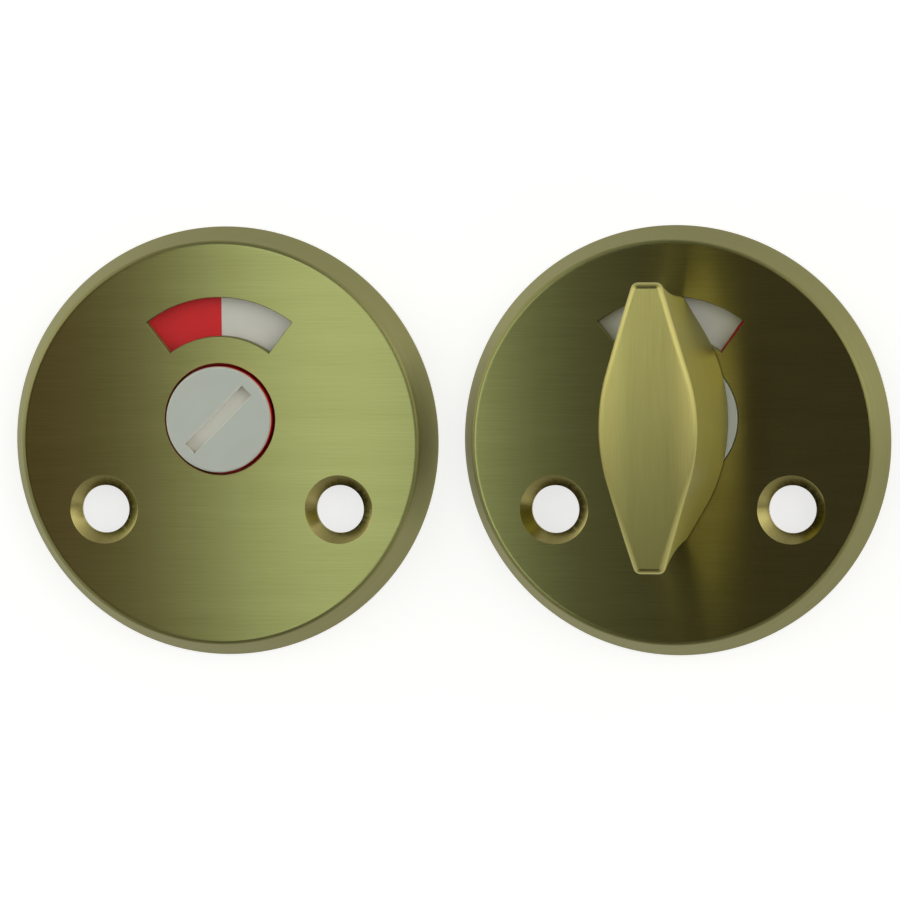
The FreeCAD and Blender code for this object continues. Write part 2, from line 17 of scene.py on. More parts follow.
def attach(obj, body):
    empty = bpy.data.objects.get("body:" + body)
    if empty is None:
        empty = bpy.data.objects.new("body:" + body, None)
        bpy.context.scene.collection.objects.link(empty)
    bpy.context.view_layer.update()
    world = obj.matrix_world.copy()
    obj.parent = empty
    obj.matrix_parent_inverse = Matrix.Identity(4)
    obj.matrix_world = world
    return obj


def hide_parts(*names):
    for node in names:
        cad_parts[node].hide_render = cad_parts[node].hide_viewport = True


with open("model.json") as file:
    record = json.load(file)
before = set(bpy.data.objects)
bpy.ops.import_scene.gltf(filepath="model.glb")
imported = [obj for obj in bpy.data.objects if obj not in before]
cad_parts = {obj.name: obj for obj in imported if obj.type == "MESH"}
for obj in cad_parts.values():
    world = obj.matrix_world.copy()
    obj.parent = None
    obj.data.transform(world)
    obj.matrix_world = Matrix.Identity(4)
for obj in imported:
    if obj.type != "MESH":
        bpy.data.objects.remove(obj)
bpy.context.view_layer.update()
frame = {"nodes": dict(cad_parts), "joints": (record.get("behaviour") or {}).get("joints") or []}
nodes = frame["nodes"]

# %% [markdown]
# The two joints say where the spindle axes are. Each half gets one matrix, which turns
# millimetres about its axis into metres in the frame.

# %% Where each half goes
MM = 0.001
AXIS = {joint["child"]: joint["pos_m"] for joint in frame["joints"]}


def half_matrix(body):
    """Millimetres about a half's spindle axis, on the plane of its back, to metres in the frame."""
    x, y, _ = AXIS[body]
    return Matrix.Translation((x, y, 0)) @ Matrix.Scale(MM, 4)


RELEASE = half_matrix("release_hub")
TURN = half_matrix("thumb_turn")
HALVES = ((RELEASE, "release"), (TURN, "turn"))
print("axes:", AXIS)

# %% [markdown]
# ## Helpers for meshes
# Nearly all the pieces are turned or moulded, so they can be skinned over a row of rings: the
# points of each ring are joined to the next ring's, and the two ends are closed with a flat face.
# That keeps the rows even, which a satin metal needs, because its soft highlight shows every
# uneven face.

# %% Rings and skins
ROUND = 192                # points round a large circle


def circle(radius, height, centre=(0.0, 0.0), count=ROUND):
    """A level ring of points."""
    return [(centre[0] + radius * math.cos(2 * math.pi * i / count),
             centre[1] + radius * math.sin(2 * math.pi * i / count), height) for i in range(count)]


def turned_rings(profile, centre=(0.0, 0.0), count=ROUND):
    """One ring for each radius and height of a profile."""
    return [circle(radius, height, centre, count) for radius, height in profile]


def arc(centre, radius, start, end, steps):
    """Points on an arc in the plane, with its angles in degrees."""
    points = []
    for i in range(steps + 1):
        angle = math.radians(start + (end - start) * i / steps)
        points.append((centre[0] + radius * math.cos(angle), centre[1] + radius * math.sin(angle)))
    return points


def skin(rings):
    """A closed mesh over rings of points, with a flat face at each end."""
    build = bmesh.new()
    rows = [[build.verts.new(point) for point in ring] for ring in rings]
    for low, high in zip(rows, rows[1:]):
        for i in range(len(low)):
            j = (i + 1) % len(low)
            build.faces.new((low[i], low[j], high[j], high[i]))
    build.faces.new(rows[0][::-1])
    build.faces.new(rows[-1])
    bmesh.ops.remove_doubles(build, verts=build.verts, dist=1e-5)
    bmesh.ops.recalc_face_normals(build, faces=build.faces)
    mesh = bpy.data.meshes.new("skin")
    build.to_mesh(mesh)
    build.free()
    return mesh


def sector_rings(inner, outer, start, end, levels, steps=48):
    """Rings for a block between two radii and two angles. Each level is a height and its flare."""
    rings = []
    for height, flare in levels:
        low, high = inner - flare, outer + flare
        widen_in, widen_out = math.degrees(flare / low), math.degrees(flare / high)
        outside = arc((0, 0), high, start - widen_out, end + widen_out, steps)
        inside = arc((0, 0), low, end + widen_in, start - widen_in, steps)
        rings.append([(x, y, height) for x, y in outside + inside])
    return rings


def bar_rings(length, width, levels):
    """Rings for an upright bar about the axis. Each level is a height and its flare."""
    corners = [(-1, -1), (1, -1), (1, 1), (-1, 1)]
    return [[(x * (length / 2 + flare), y * (width / 2 + flare), height) for x, y in corners]
            for height, flare in levels]


# %% Booleans
def joined(meshes):
    """Several meshes as one."""
    build = bmesh.new()
    for mesh in meshes:
        build.from_mesh(mesh)
    mesh = bpy.data.meshes.new("joined")
    build.to_mesh(mesh)
    build.free()
    return mesh


def carved(mesh, tools, operation="DIFFERENCE"):
    """The mesh with the tools cut away from it, or joined to it."""
    body = bpy.data.objects.new("carved", mesh)
    tool = bpy.data.objects.new("tool", joined(tools))
    for item in (body, tool):
        bpy.context.scene.collection.objects.link(item)
    cut = body.modifiers.new("cut", "BOOLEAN")
    cut.operation, cut.solver, cut.object = operation, "EXACT", tool
    graph = bpy.context.evaluated_depsgraph_get()
    result = bpy.data.meshes.new_from_object(body.evaluated_get(graph))
    for item in (body, tool):
        bpy.data.objects.remove(item)
    return result


# %% [markdown]
# A finished piece is an object at the origin with its place in its mesh. It is smooth except
# where its faces meet at a real edge, and the weighted normals keep flat faces flat next to a
# rounding.

# %% Finish a piece
EDGE_DEG = 32.0            # where two faces meet at more than this, there is a real edge


def place(name, mesh, half, body, stands_for, finishes, bevel=0.0):
    """Turn a mesh about an axis into a finished piece of the lock, which rides on a body."""
    mesh.transform(half)
    mesh.name = name
    piece = bpy.data.objects.new(name, mesh)
    bpy.context.scene.collection.objects.link(piece)
    for finish in finishes:
        mesh.materials.append(finish)
    for face in mesh.polygons:
        face.use_smooth = True
    mesh.set_sharp_from_angle(angle=math.radians(EDGE_DEG))
    if bevel:
        edge = piece.modifiers.new("broken edges", "BEVEL")
        edge.width, edge.segments = bevel * MM, 2
        edge.limit_method, edge.angle_limit = "ANGLE", math.radians(EDGE_DEG)
    weigh = piece.modifiers.new("flat faces stay flat", "WEIGHTED_NORMAL")
    weigh.keep_sharp = True
    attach(piece, body)
    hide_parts(stands_for)
    print(name, "faces:", len(mesh.polygons), "stands for", stands_for)
    return piece


# %% [markdown]
# The CAD gives the simpler mouldings their shape. Its mesh is loose triangles, so a copy is
# merged, and the triangles of each flat face become one face. A bevel can then find the real
# edges.

# %% Copy a CAD node
FLAT_DEG = 0.5             # triangles that meet at less than this are one flat face


def merged_copy(node, half):
    """A CAD node's mesh in millimetres about its axis, merged, with its flat faces made whole."""
    mesh = nodes[node].data.copy()
    mesh.transform(half.inverted())
    build = bmesh.new()
    build.from_mesh(mesh)
    bmesh.ops.remove_doubles(build, verts=build.verts, dist=1e-3)
    bmesh.ops.dissolve_limit(build, angle_limit=math.radians(FLAT_DEG), verts=build.verts,
                             edges=build.edges)
    build.to_mesh(mesh)
    build.free()
    mesh.materials.clear()
    for name in [layer.name for layer in mesh.uv_layers]:
        mesh.uv_layers.remove(mesh.uv_layers[name])
    return mesh


# %% [markdown]
# ## Helpers for materials
# A colour is written as it looks on a screen, and one function turns it into the linear numbers
# that Blender works in. One more function adds a node with its settings and its links. Patterns
# are in object space, where one unit is a metre, so a Mapping node scales them by real sizes.

# %% Colours and nodes
def linear(colour):
    """An sRGB hex colour as linear red, green, blue and a full alpha."""
    parts = [int(colour[i:i + 2], 16) / 255 for i in (1, 3, 5)]
    return tuple(p / 12.92 if p <= 0.04045 else ((p + 0.055) / 1.055) ** 2.4
                 for p in parts) + (1.0,)


def add_node(tree, kind, inputs=None, **settings):
    """A node of a kind. An input given as a socket is linked, and any other value is set."""
    node = tree.nodes.new(kind)
    for name, value in settings.items():
        setattr(node, name, value)
    for key, value in (inputs or {}).items():
        if isinstance(value, bpy.types.NodeSocket):
            tree.links.new(value, node.inputs[key])
        else:
            node.inputs[key].default_value = value
    return node


def new_material(name):
    """An empty material, its tree and its shader."""
    material = bpy.data.materials.new(name)
    material.use_nodes = True
    tree = material.node_tree
    return material, tree, tree.nodes["Principled BSDF"]


# The two inputs and the output of a Mix node, which has one set for each kind of data
FIRST_COLOUR, SECOND_COLOUR, MIXED_COLOUR = 6, 7, 2
FIRST_NUMBER, SECOND_NUMBER, MIXED_NUMBER = 2, 3, 0


def blend(tree, factor, dark, light):
    """A colour that runs from dark to light with a factor. Dark may be a socket or a hex colour."""
    first = linear(dark) if isinstance(dark, str) else dark
    return add_node(tree, "ShaderNodeMix", {
        "Factor": factor, FIRST_COLOUR: first, SECOND_COLOUR: linear(light)},
        data_type="RGBA").outputs[MIXED_COLOUR]


def object_noise(tree, per_mm, detail=2.0):
    """Noise in object space, with so many grains to a millimetre."""
    spot = add_node(tree, "ShaderNodeTexCoord")
    real_size = add_node(tree, "ShaderNodeMapping", {
        "Vector": spot.outputs["Object"], "Scale": (per_mm / MM,) * 3})
    return add_node(tree, "ShaderNodeTexNoise", {
        "Vector": real_size.outputs["Vector"], "Scale": 1.0, "Detail": detail}).outputs["Fac"]


def finish_surface(tree, colour, rough, swing, height, strength, depth):
    """Link colour, roughness and relief to the shader. The roughness swings about its middle and
    the relief is depth millimetres deep, both with the same height."""
    shader = tree.nodes["Principled BSDF"]
    tree.links.new(colour, shader.inputs["Base Color"])
    if swing:
        polish = add_node(tree, "ShaderNodeMapRange", {
            "Value": height, "To Min": rough - swing, "To Max": rough + swing})
        tree.links.new(polish.outputs["Result"], shader.inputs["Roughness"])
    else:
        shader.inputs["Roughness"].default_value = rough
    relief = add_node(tree, "ShaderNodeBump", {
        "Height": height, "Strength": strength, "Distance": depth * MM})
    tree.links.new(relief.outputs["Normal"], shader.inputs["Normal"])

# %% [markdown]
# ## Satin brass
# The faces are brushed in one direction on a belt and lacquered. Thousands of fine grooves lie
# side by side, so a reflection smears out across them and stays sharp along them. Anisotropy does
# that. A renderer smears along the tangent, and the piece's own UV map has U along the grooves,
# so a quarter turn sets it right. The grooves show as fine streaks as well: noise that is
# squeezed across them. A belt of about 180 grit leaves grooves some 0.08 mm apart. That is less
# than a pixel here, so they are drawn about twice as coarse, with wide soft bands where the belt
# pressed harder.

# %% Brass finishes
GROOVE = 0.16              # mm between the streaks, twice the real ones
STREAK = 9.0               # mm, how long a streak is
BAND = (60.0, 3.5)         # mm, length and width of the soft bands
BAND_SHARE = 0.35          # how much of the tone the bands make, against the streaks
NOISE_LOW, NOISE_HIGH = 0.3, 0.7           # between these the noise is stretched to its full range
BRUSHED_SWING, BRUSHED_BUMP = 0.03, 0.22   # of the roughness, and of the relief's strength
ACROSS_GROOVES = 0.25      # of a whole turn


def groove_noise(tree, grain, length, width, detail, rough=0.5):
    """Noise on the grooves' map, with patches of a length and width in millimetres."""
    drawn_out = add_node(tree, "ShaderNodeMapping", {
        "Vector": grain.outputs["UV"], "Scale": (1 / length, 1 / width, 1)})
    return add_node(tree, "ShaderNodeTexNoise", {
        "Vector": drawn_out.outputs["Vector"], "Scale": 1.0, "Detail": detail,
        "Roughness": rough}).outputs["Fac"]


def brushed_brass(name, dark, light, rough, spread, groove=GROOVE, streak=STREAK, depth=0.004):
    """Lacquered brass with its grooves along U."""
    material, tree, shader = new_material(name)
    grain = add_node(tree, "ShaderNodeUVMap", uv_map="grooves")
    streaks = groove_noise(tree, grain, streak, groove, 3.0, 0.6)
    bands = groove_noise(tree, grain, *BAND, 2.0)
    both = add_node(tree, "ShaderNodeMix", {
        "Factor": BAND_SHARE, FIRST_NUMBER: streaks, SECOND_NUMBER: bands})
    stretched = add_node(tree, "ShaderNodeMapRange", {
        "Value": both.outputs[MIXED_NUMBER], "From Min": NOISE_LOW, "From Max": NOISE_HIGH})
    finish_surface(tree, blend(tree, stretched.outputs["Result"], dark, light),
                   rough, BRUSHED_SWING, streaks, BRUSHED_BUMP, depth)
    along_grooves = add_node(tree, "ShaderNodeTangent", direction_type="UV_MAP", uv_map="grooves")
    tree.links.new(along_grooves.outputs["Tangent"], shader.inputs["Tangent"])
    shader.inputs["Metallic"].default_value = 1.0
    shader.inputs["Anisotropic"].default_value = spread
    shader.inputs["Anisotropic Rotation"].default_value = ACROSS_GROOVES
    return material


satin_brass = brushed_brass(
    "satin brass, belt brushed", "#B3A967", "#C6BC79", rough=0.305, spread=1.0)
# Painted reflection: the rim's brass is written darker than the face's, standing in for darker
# surroundings mirrored in the rim.
turned_rim = brushed_brass(
    "satin brass, turned rim", "#848150", "#939160", rough=0.45, spread=0.8, groove=0.14,
    streak=14.0)
# Painted shade: the countersinks' brass is written darker than the face's, as shade in these
# hollows.
turned_countersink = brushed_brass(
    "brass, turned countersink", "#938A55", "#A39A62", rough=0.24, spread=0.5, groove=0.1,
    streak=12.0)
brushed_grip = brushed_brass(
    "satin brass, brushed grip", "#A8A160", "#B7B06E", rough=0.34, spread=0.85, groove=0.14,
    streak=7.0, depth=0.003)
# Painted shade: the flanks' brass is written darker than the crown's, as shade on the grip's sides.
brushed_flank = brushed_brass(
    "satin brass, brushed flank", "#94904E", "#A39F5B", rough=0.4, spread=0.5, groove=0.14,
    streak=7.0, depth=0.003)

# %% [markdown]
# The backs aren't brushed. They keep the fine grain of the casting.

# %% Bare brass for the backs
cast_brass, tree, shader = new_material("brass, bare casting")
grain = object_noise(tree, 2.2, 4.0)
finish_surface(tree, blend(tree, grain, "#8E7A45", "#AB965C"), 0.5, 0.0, grain, 0.4, 0.03)
shader.inputs["Metallic"].default_value = 1.0

# %% [markdown]
# ## Plastics
# The red disc, the white inserts, the button and the ring are injection moulded. A moulding has a
# faint texture from its tool, a slow change of tone where the plastic is thinner, and some light
# gets under its skin, which a little subsurface gives.

# %% Moulded plastics
TEXTURE, CLOUD = 4.0, 0.3      # grains to a millimetre in the tool's texture and the slow change
LIGHT_DEPTH = 0.4              # mm that the light gets under the skin


def moulded(name, dark, light, rough, under_skin):
    """Moulded plastic. The tree and the tone are given back too, for a plastic that gets painted
    shade.
    """
    material, tree, shader = new_material(name)
    tone = blend(tree, object_noise(tree, CLOUD), dark, light)
    finish_surface(tree, tone, rough, 0.06, object_noise(tree, TEXTURE), 0.3, 0.01)
    shader.inputs["Subsurface Weight"].default_value = under_skin
    shader.inputs["Subsurface Radius"].default_value = (1.0, 0.8, 0.7)
    shader.inputs["Subsurface Scale"].default_value = LIGHT_DEPTH * MM
    return material, tree, tone


# Painted light: the red and the white insert are written lighter than the plastics look, to make up
# for the shade in the window's recess.
red_plastic = moulded("acetal, moulded red", "#DE1019", "#EA161F", 0.42, 0.1)[0]
white_insert = moulded("acetal, moulded white insert", "#DEDDD6", "#E7E6DF", 0.45, 0.2)[0]
white_button = moulded("acetal, moulded white button", "#BDC3BB", "#C6CCC4", 0.4, 0.2)[0]
nylon = moulded("nylon, moulded natural", "#C9C3AE", "#D6D0BC", 0.45, 0.3)[0]

# %% [markdown]
# The coin slot is painted a warmer and much lighter white than the button's face, and the lighter
# tone is painted light on the slot's floor. Its ends are darkened towards brown, which is painted
# shade from the slot's end walls. The slot lies at 45 degrees, so a Mapping node turns the pattern
# and centres it on the button, and the distance from the middle then blends in that painted shade.

# %% Plastic of the coin slot
SLOT_LENGTH, SLOT_WIDTH, SLOT_DEPTH, SLOT_DEG = 10.4, 1.7, 1.0, 45.0
# Painted shade: from these shares of the slot's length the ends darken towards brown, up to this
# share.
END_SHADE_FROM, END_SHADE_TO, END_SHADE_SHARE = 0.3, 0.52, 0.27   # shares of the slot's length, and of the brown
# Painted light: the slot's plastic is written much lighter than the button's face, as a brightly
# lit slot floor.
slot_lit_and_shaded, tree, tone = moulded("acetal, worn coin slot", "#E0E0D6", "#E4E4DB", 0.5, 0.2)
spot = add_node(tree, "ShaderNodeTexCoord")
x, y, _ = AXIS["release_hub"]
in_slot = add_node(tree, "ShaderNodeMapping", {
    "Vector": spot.outputs["Object"], "Location": (x, y, 0),
    "Rotation": (0, 0, math.radians(SLOT_DEG)), "Scale": (MM, MM, MM)}, vector_type="TEXTURE")
axes = add_node(tree, "ShaderNodeSeparateXYZ", {"Vector": in_slot.outputs["Vector"]})
away = add_node(tree, "ShaderNodeMath", {0: axes.outputs["X"]}, operation="ABSOLUTE")
# Painted shade at both ends of the slot, darker with the distance from its middle.
end_shade = add_node(tree, "ShaderNodeMapRange", {
    "Value": away.outputs["Value"], "From Min": END_SHADE_FROM * SLOT_LENGTH,
    "From Max": END_SHADE_TO * SLOT_LENGTH, "To Max": END_SHADE_SHARE})
shaded = blend(tree, end_shade.outputs["Result"], tone, "#8C7B66")
tree.links.new(shaded, tree.nodes["Principled BSDF"].inputs["Base Color"])

# %% [markdown]
# ## Small metal parts
# Nobody sees these from the front. They differ in colour and in the size of their grain: sandy
# for a die casting, spangled for zinc plating and nearly black for tempered spring steel.

# %% Zinc and steel
def plated(name, dark, light, rough, grain):
    """Stamped or cast metal with a grain in millimetres."""
    material, tree, shader = new_material(name)
    noise = object_noise(tree, 1 / grain, 4.0)
    finish_surface(tree, blend(tree, noise, dark, light), rough, 0.08, noise, 0.25, 0.01)
    shader.inputs["Metallic"].default_value = 1.0
    return material


zinc_casting = plated("zinc, die cast", "#8C8F92", "#A3A6A8", 0.45, 0.6)
plated_steel = plated("steel, zinc plated", "#A7A9A3", "#C0C2BC", 0.32, 1.4)
spring_steel = plated("spring steel, oil tempered", "#5A5C60", "#74767A", 0.3, 0.8)

# %% [markdown]
# ## The roses
# Each rose is a turned brass cover: a flat face, a rounded lip, a rim that leans outwards, and a
# hollow back with a step for the plate. A lathe profile gives all of that. The holes aren't round
# about the same centre, so they are cut with exact booleans, and each cutting tool flares a
# little at the top, because a real punched edge is broken and catches the light as a thin line.

# %% Sizes of the roses
AXIS_RISE = 3.0
ROSE_CENTRE = (0.0, -AXIS_RISE)
ROSE_RADIUS, FACE_RADIUS, ROSE_HEIGHT = 27.0, 25.35, 5.0
RIM_LAND, LIP_ROUND = 0.4, 0.5
STEP_RADIUS, PLATE_THICKNESS = 24.7, 0.8
POCKET_RADIUS, INNER_FACE = 23.6, 3.2
SCREW_PLACES = [(-15.0, -11.4), (15.0, -11.4)]
SCREW_HOLE_RADIUS, COUNTERSINK_RADIUS, COUNTERSINK_DEPTH = 3.0, 4.3, 1.3
WINDOW_INNER, WINDOW_OUTER, WINDOW_START, WINDOW_END = 10.4, 15.3, 52.5, 127.5
POST_RADIUS, POST_CIRCLE, POST_DEG = 2.0, 20.9, (90.0, 240.0, 300.0)
PILOT_RADIUS, PILOT_DEPTH = 0.92, 2.52
POSTS = [(ROSE_CENTRE[0] + POST_CIRCLE * math.cos(math.radians(a)),
          ROSE_CENTRE[1] + POST_CIRCLE * math.sin(math.radians(a))) for a in POST_DEG]
HUB_HOLE_RADIUS = {"release": 7.0, "turn": 8.4}
BROKEN_EDGE = 0.07         # a punched edge slopes this far down and twice as far out
BEYOND = 0.5               # how far a tool reaches past what it cuts
CENTRE_LAND = 1.0          # radius of the small flat ends in the middle of the lathe profile


# %% Lathe profile of the cover
def cover_profile():
    """Radius and height from the middle of the face, over the lip and rim, to the hollow back."""
    slope = Vector((ROSE_RADIUS - FACE_RADIUS, RIM_LAND - ROSE_HEIGHT)).normalized()
    turn = math.acos(slope.x)
    reach = LIP_ROUND * math.tan(turn / 2)
    lip = arc((FACE_RADIUS - reach, ROSE_HEIGHT - LIP_ROUND), LIP_ROUND,
              90, 90 - math.degrees(turn), 8)
    return ([(CENTRE_LAND, ROSE_HEIGHT), (FACE_RADIUS - reach - 0.25, ROSE_HEIGHT)] + lip +
            [(ROSE_RADIUS - 0.03, RIM_LAND + 0.08), (ROSE_RADIUS, RIM_LAND - 0.04),
             (ROSE_RADIUS, 0.06), (ROSE_RADIUS - 0.06, 0),
             (STEP_RADIUS, 0), (STEP_RADIUS, PLATE_THICKNESS), (POCKET_RADIUS, PLATE_THICKNESS),
             (POCKET_RADIUS, INNER_FACE), (CENTRE_LAND, INNER_FACE)])


# %% Tools that cut the holes
def broken_edge(bottom, top):
    """Levels of a tool that cuts from bottom up through top, and breaks the upper edge."""
    return [(bottom, 0), (top - BROKEN_EDGE, 0), (top + BROKEN_EDGE, 2 * BROKEN_EDGE),
            (top + 1, 2 * BROKEN_EDGE)]


def hole_tool(radius):
    """What cuts a round hole about the axis through the face."""
    levels = broken_edge(INNER_FACE - BEYOND, ROSE_HEIGHT)
    return skin(turned_rings([(radius + flare, height) for height, flare in levels], count=96))


def screw_tool(centre):
    """What cuts a countersunk screw hole."""
    floor, flare = ROSE_HEIGHT - COUNTERSINK_DEPTH, COUNTERSINK_RADIUS - SCREW_HOLE_RADIUS
    return skin(turned_rings([
        (SCREW_HOLE_RADIUS, INNER_FACE - BEYOND), (SCREW_HOLE_RADIUS, floor),
        (COUNTERSINK_RADIUS - 0.05, ROSE_HEIGHT - 0.05),
        (COUNTERSINK_RADIUS + 0.07, ROSE_HEIGHT + 0.034),
        (COUNTERSINK_RADIUS + 0.2 + flare, ROSE_HEIGHT + 1)], centre, 96))


def window_tool():
    """What cuts the indicator window."""
    return skin(sector_rings(WINDOW_INNER, WINDOW_OUTER, WINDOW_START, WINDOW_END,
                             broken_edge(INNER_FACE - BEYOND, ROSE_HEIGHT)))


def rose_mesh(hub_hole_radius):
    """The cover with its posts, its window and its holes."""
    cover = skin(turned_rings(cover_profile(), ROSE_CENTRE, 256))
    posts = [skin(turned_rings([(POST_RADIUS, PLATE_THICKNESS), (POST_RADIUS, INNER_FACE + 0.3)],
                               post, 48)) for post in POSTS]
    pilots = [skin(turned_rings([(PILOT_RADIUS, 0), (PILOT_RADIUS, PILOT_DEPTH)], post, 24))
              for post in POSTS]
    holes = [window_tool(), hole_tool(hub_hole_radius)]
    holes += [screw_tool(spot) for spot in SCREW_PLACES]
    return carved(carved(cover, posts, "UNION"), holes + pilots)


# %% [markdown]
# The finish differs by region: the face is brushed straight across, while the rim and the
# countersinks keep the round marks of the lathe. One function gives each face its finish and
# writes the grooves' UV map, in millimetres: along X on the face, and round the middle on turned
# surfaces.

# %% Which way the grooves run
STRAIGHT, MAPPED = "straight", "mapped"


def turned_uv(point, middle, centre):
    """U round a centre and V outwards or down, for a corner of the face that has this middle."""
    ahead = math.atan2(middle.y - centre[1], middle.x - centre[0])
    angle = math.atan2(point.y - centre[1], point.x - centre[0])
    angle = ahead + (angle - ahead + math.pi) % (2 * math.pi) - math.pi
    around = math.hypot(middle.x - centre[0], middle.y - centre[1])
    return angle * max(around, 0.5), math.hypot(point.x - centre[0], point.y - centre[1]) - point.z


def grooves(mesh, region_of):
    """Write the UV map in millimetres. region_of gives a face's finish and the centre about which
    it was turned, or STRAIGHT if it was brushed along X, or MAPPED if it has its map already."""
    layer = mesh.uv_layers.get("grooves") or mesh.uv_layers.new(name="grooves")
    for face in mesh.polygons:
        face.material_index, centre = region_of(face)
        if centre == MAPPED:
            continue
        for corner in face.loop_indices:
            point = mesh.vertices[mesh.loops[corner].vertex_index].co
            layer.data[corner].uv = (point.xy if centre == STRAIGHT
                                     else turned_uv(point, face.center, centre))


BRASS_FINISHES = [satin_brass, turned_rim, turned_countersink, cast_brass]
FACE, RIM, SINK, BACK = range(4)           # places in that list
HAIR = 0.01                                # mm, what counts as above a level


def rose_region(face):
    """Finish and turning centre of a face of a rose."""
    middle = face.center
    if face.normal.z > 0.999 and middle.z > ROSE_HEIGHT - HAIR:
        return FACE, STRAIGHT
    for spot in SCREW_PLACES:
        if math.hypot(middle.x - spot[0], middle.y - spot[1]) < COUNTERSINK_RADIUS + 0.2:
            if middle.z > INNER_FACE + HAIR:
                return SINK, spot
    radius = math.hypot(middle.x - ROSE_CENTRE[0], middle.y - ROSE_CENTRE[1])
    if radius > STEP_RADIUS + 0.05 and middle.z > HAIR:
        return RIM, ROSE_CENTRE
    if middle.z > INNER_FACE + HAIR:
        return RIM, (0.0, 0.0)
    return BACK, ROSE_CENTRE


# %% Both roses
for half, name in HALVES:
    mesh = rose_mesh(HUB_HOLE_RADIUS[name])
    grooves(mesh, rose_region)
    place(name + "_brass_cover", mesh, half, "roses", name + "_rose", BRASS_FINISHES)

# %% [markdown]
# ## The thumb turn
# The grip is a long hexagon on a lens-shaped foot. Its top is crowned: a flat ridge runs along
# the middle, a shoulder rolls off on each side, and the whole top bends gently along its length.
# Three level outlines are drawn by one rule, and every point runs up through them on a smooth
# curve until it meets the crown. There the edge is rounded, and the rows then run in to the
# middle line, so the whole grip is one even skin.

# %% Outlines of the grip
GRIP_FOOT, GRIP_TOP = 5.3, 25.5
GRIP_HEIGHT = GRIP_TOP - GRIP_FOOT
# Share of the height, half length, half width, half width of the end, rounding of the middle corner
GRIP_OUTLINES = ((0.00, 15.4, 7.2, 1.6, 22.0),
                 (0.42, 16.2, 6.5, 1.6, 22.0),
                 (1.00, 18.45, 6.2, 1.85, 23.5))
GRIP_CORNER_ROUND, GRIP_EDGE_ROUND = 0.95, 0.8
# Half width of the flat ridge, radius of the shoulders across, radius of the bend along
CROWN_RIDGE, CROWN_ACROSS, CROWN_ALONG = 1.8, 12.0, 190.0
END_STEPS, MIDDLE_STEPS = 8, 24            # points on a corner or side of the outline


def spaced(start, end, count):
    """Points from start up to but not at end."""
    return [start.lerp(end, i / count) for i in range(count)]


def rounded_corner(before, corner, after, radius, steps):
    """The rounding of a corner as points in the plane."""
    back, ahead = (before - corner).normalized(), (after - corner).normalized()
    half = back.angle(ahead) / 2
    centre = corner + (back + ahead).normalized() * (radius / math.sin(half))
    start = corner + back * (radius / math.tan(half)) - centre
    end = corner + ahead * (radius / math.tan(half)) - centre
    sweep = start.angle_signed(end)
    return [centre + Matrix.Rotation(-sweep * i / steps, 2) @ start for i in range(steps + 1)]


def level_outline(half_length, half_width, half_end, corner_round):
    """One level outline, the same number of points whatever its sizes."""
    inset = corner_round + half_end - half_width
    lean = math.asin(corner_round / math.hypot(half_length, inset)) - math.atan2(inset, half_length)
    reach = half_end + half_length * math.tan(lean)
    corners = [Vector(corner) for corner in (
        (half_end, half_length), (reach, 0), (half_end, -half_length),
        (-half_end, -half_length), (-reach, 0), (-half_end, half_length))]
    rounds = [GRIP_CORNER_ROUND, corner_round, GRIP_CORNER_ROUND] * 2
    steps = [END_STEPS, MIDDLE_STEPS, END_STEPS] * 2
    bends = [rounded_corner(corners[i - 1], corners[i], corners[(i + 1) % 6], rounds[i], steps[i])
             for i in range(6)]
    points = []
    for i, bend in enumerate(bends):
        following = bends[(i + 1) % 6][0]
        points += bend[:-1] + spaced(bend[-1], following, END_STEPS if i % 3 == 2 else MIDDLE_STEPS)
    return points


LEVELS = [level_outline(*sizes[1:]) for sizes in GRIP_OUTLINES]
print("points round the grip:", len(LEVELS[0]))


# %% Where a point of the grip lies
def at_share(index, share):
    """Where a point of the outline is at a share of the height: a smooth curve through three."""
    a, b, c = (sizes[0] for sizes in GRIP_OUTLINES)
    p, q, r = (level[index] for level in LEVELS)
    return (p * ((share - b) * (share - c) / ((a - b) * (a - c))) +
            q * ((share - a) * (share - c) / ((b - a) * (b - c))) +
            r * ((share - a) * (share - b) / ((c - a) * (c - b))))


def crown_height(x, y):
    """Height of the crowned top: a flat ridge, a shoulder on each side, and a bend along it."""
    along = CROWN_ALONG - math.sqrt(CROWN_ALONG ** 2 - y ** 2)
    down = max(abs(x) - CROWN_RIDGE, 0.0)
    return GRIP_TOP - along - CROWN_ACROSS + math.sqrt(CROWN_ACROSS ** 2 - down ** 2)


# %% Skin of the grip
FLANK_ROWS, ROUND_ROWS, SHOULDER_ROWS, RIDGE_ROWS = 20, 8, 10, 5
SPINE_HALF = 16.3          # where the rows of the crown come together at each end
EDGE_SWEEP = 1.4           # radians that the rounding turns through, for its width on the map
BELOW, NEAR = 0.05, 0.5    # share of the height, and mm, over which a slope is taken


def flank_point(index, share):
    """A point of the flank at a share of the grip's height."""
    return Vector((*at_share(index, share), GRIP_FOOT + share * GRIP_HEIGHT))


def rounded_edge(index, count):
    """The rounding between flank and crown at one point of the outline, as points from the
    flank in, with the share of the height where it starts."""
    share = 1.0
    for _ in range(6):
        share = (crown_height(*at_share(index, share)) - GRIP_FOOT) / GRIP_HEIGHT
    tip, below = flank_point(index, share), flank_point(index, share - BELOW)
    along = at_share((index + 1) % count, share) - at_share(index - 1, share)
    inward = Vector((along.y, -along.x)).normalized()
    near = tip.xy + inward * NEAR
    inside = Vector((near.x, near.y, crown_height(*near)))
    down, across = (below - tip).normalized(), (inside - tip).normalized()
    half = down.angle(across) / 2
    reach = GRIP_EDGE_ROUND / math.tan(half)
    centre = tip + (down + across).normalized() * (GRIP_EDGE_ROUND / math.sin(half))
    start, end = tip + down * reach - centre, tip + across * reach - centre
    points = [centre + start.slerp(end, row / ROUND_ROWS).normalized() * GRIP_EDGE_ROUND
              for row in range(ROUND_ROWS + 1)]
    return points, share + reach * down.z / GRIP_HEIGHT


